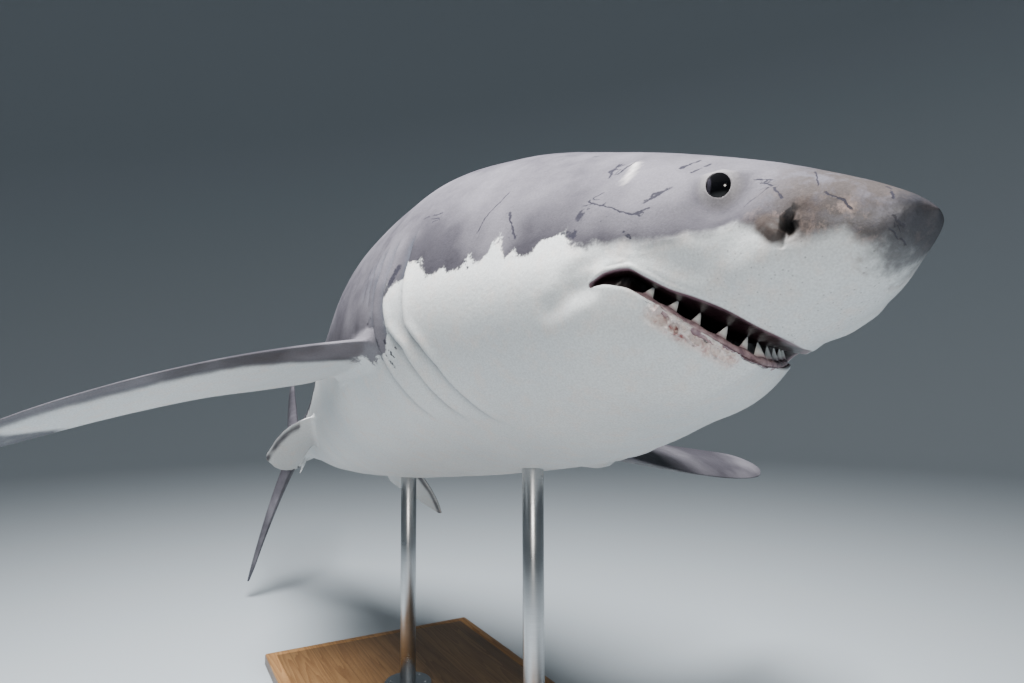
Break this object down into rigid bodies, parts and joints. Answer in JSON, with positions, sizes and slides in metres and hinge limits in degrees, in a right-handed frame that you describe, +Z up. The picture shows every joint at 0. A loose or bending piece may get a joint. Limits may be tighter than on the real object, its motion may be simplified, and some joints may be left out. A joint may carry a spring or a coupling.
{
  "type": "great white shark display model",
  "caption": "Life-size still model of a great white shark, banked and arched as it swims with its mouth ajar, on a flat base with steel rods.",
  "frame": {"origin": "centre of the stand base's underside, on the floor", "axes": "+X the way the shark heads, along the base's long side; +Y the shark's left side; +Z up"},
  "size_m": [4.2647, 2.4547, 2.0745],
  "materials": {
    "shark_skin": "damp satin hide, grey above and white below",
    "shark_eye": "wet gloss black",
    "stand_board": "dark stained, satin varnish",
    "stand_steel": "fine brushed"
  },
  "bodies": {
    "root": {"head": "shark_skin", "lower_jaw": "shark_skin", "gill_region": "shark_skin", "trunk": "shark_skin", "rear_trunk": "shark_skin", "tail_stock": "shark_skin", "caudal_fin_upper": "shark_skin", "caudal_fin_lower": "shark_skin", "first_dorsal_fin": "shark_skin", "second_dorsal_fin": "shark_skin", "anal_fin": "shark_skin", "pectoral_fin_right": "shark_skin", "pectoral_fin_left": "shark_skin", "pelvic_fin_right": "shark_skin", "pelvic_fin_left": "shark_skin", "eye_right": "shark_eye", "eye_left": "shark_eye", "stand_base": "stand_board", "stand_flange_front": "stand_steel", "stand_flange_rear": "stand_steel", "stand_rod_front": "stand_steel", "stand_rod_rear": "stand_steel"}
  },
  "joints": []
}
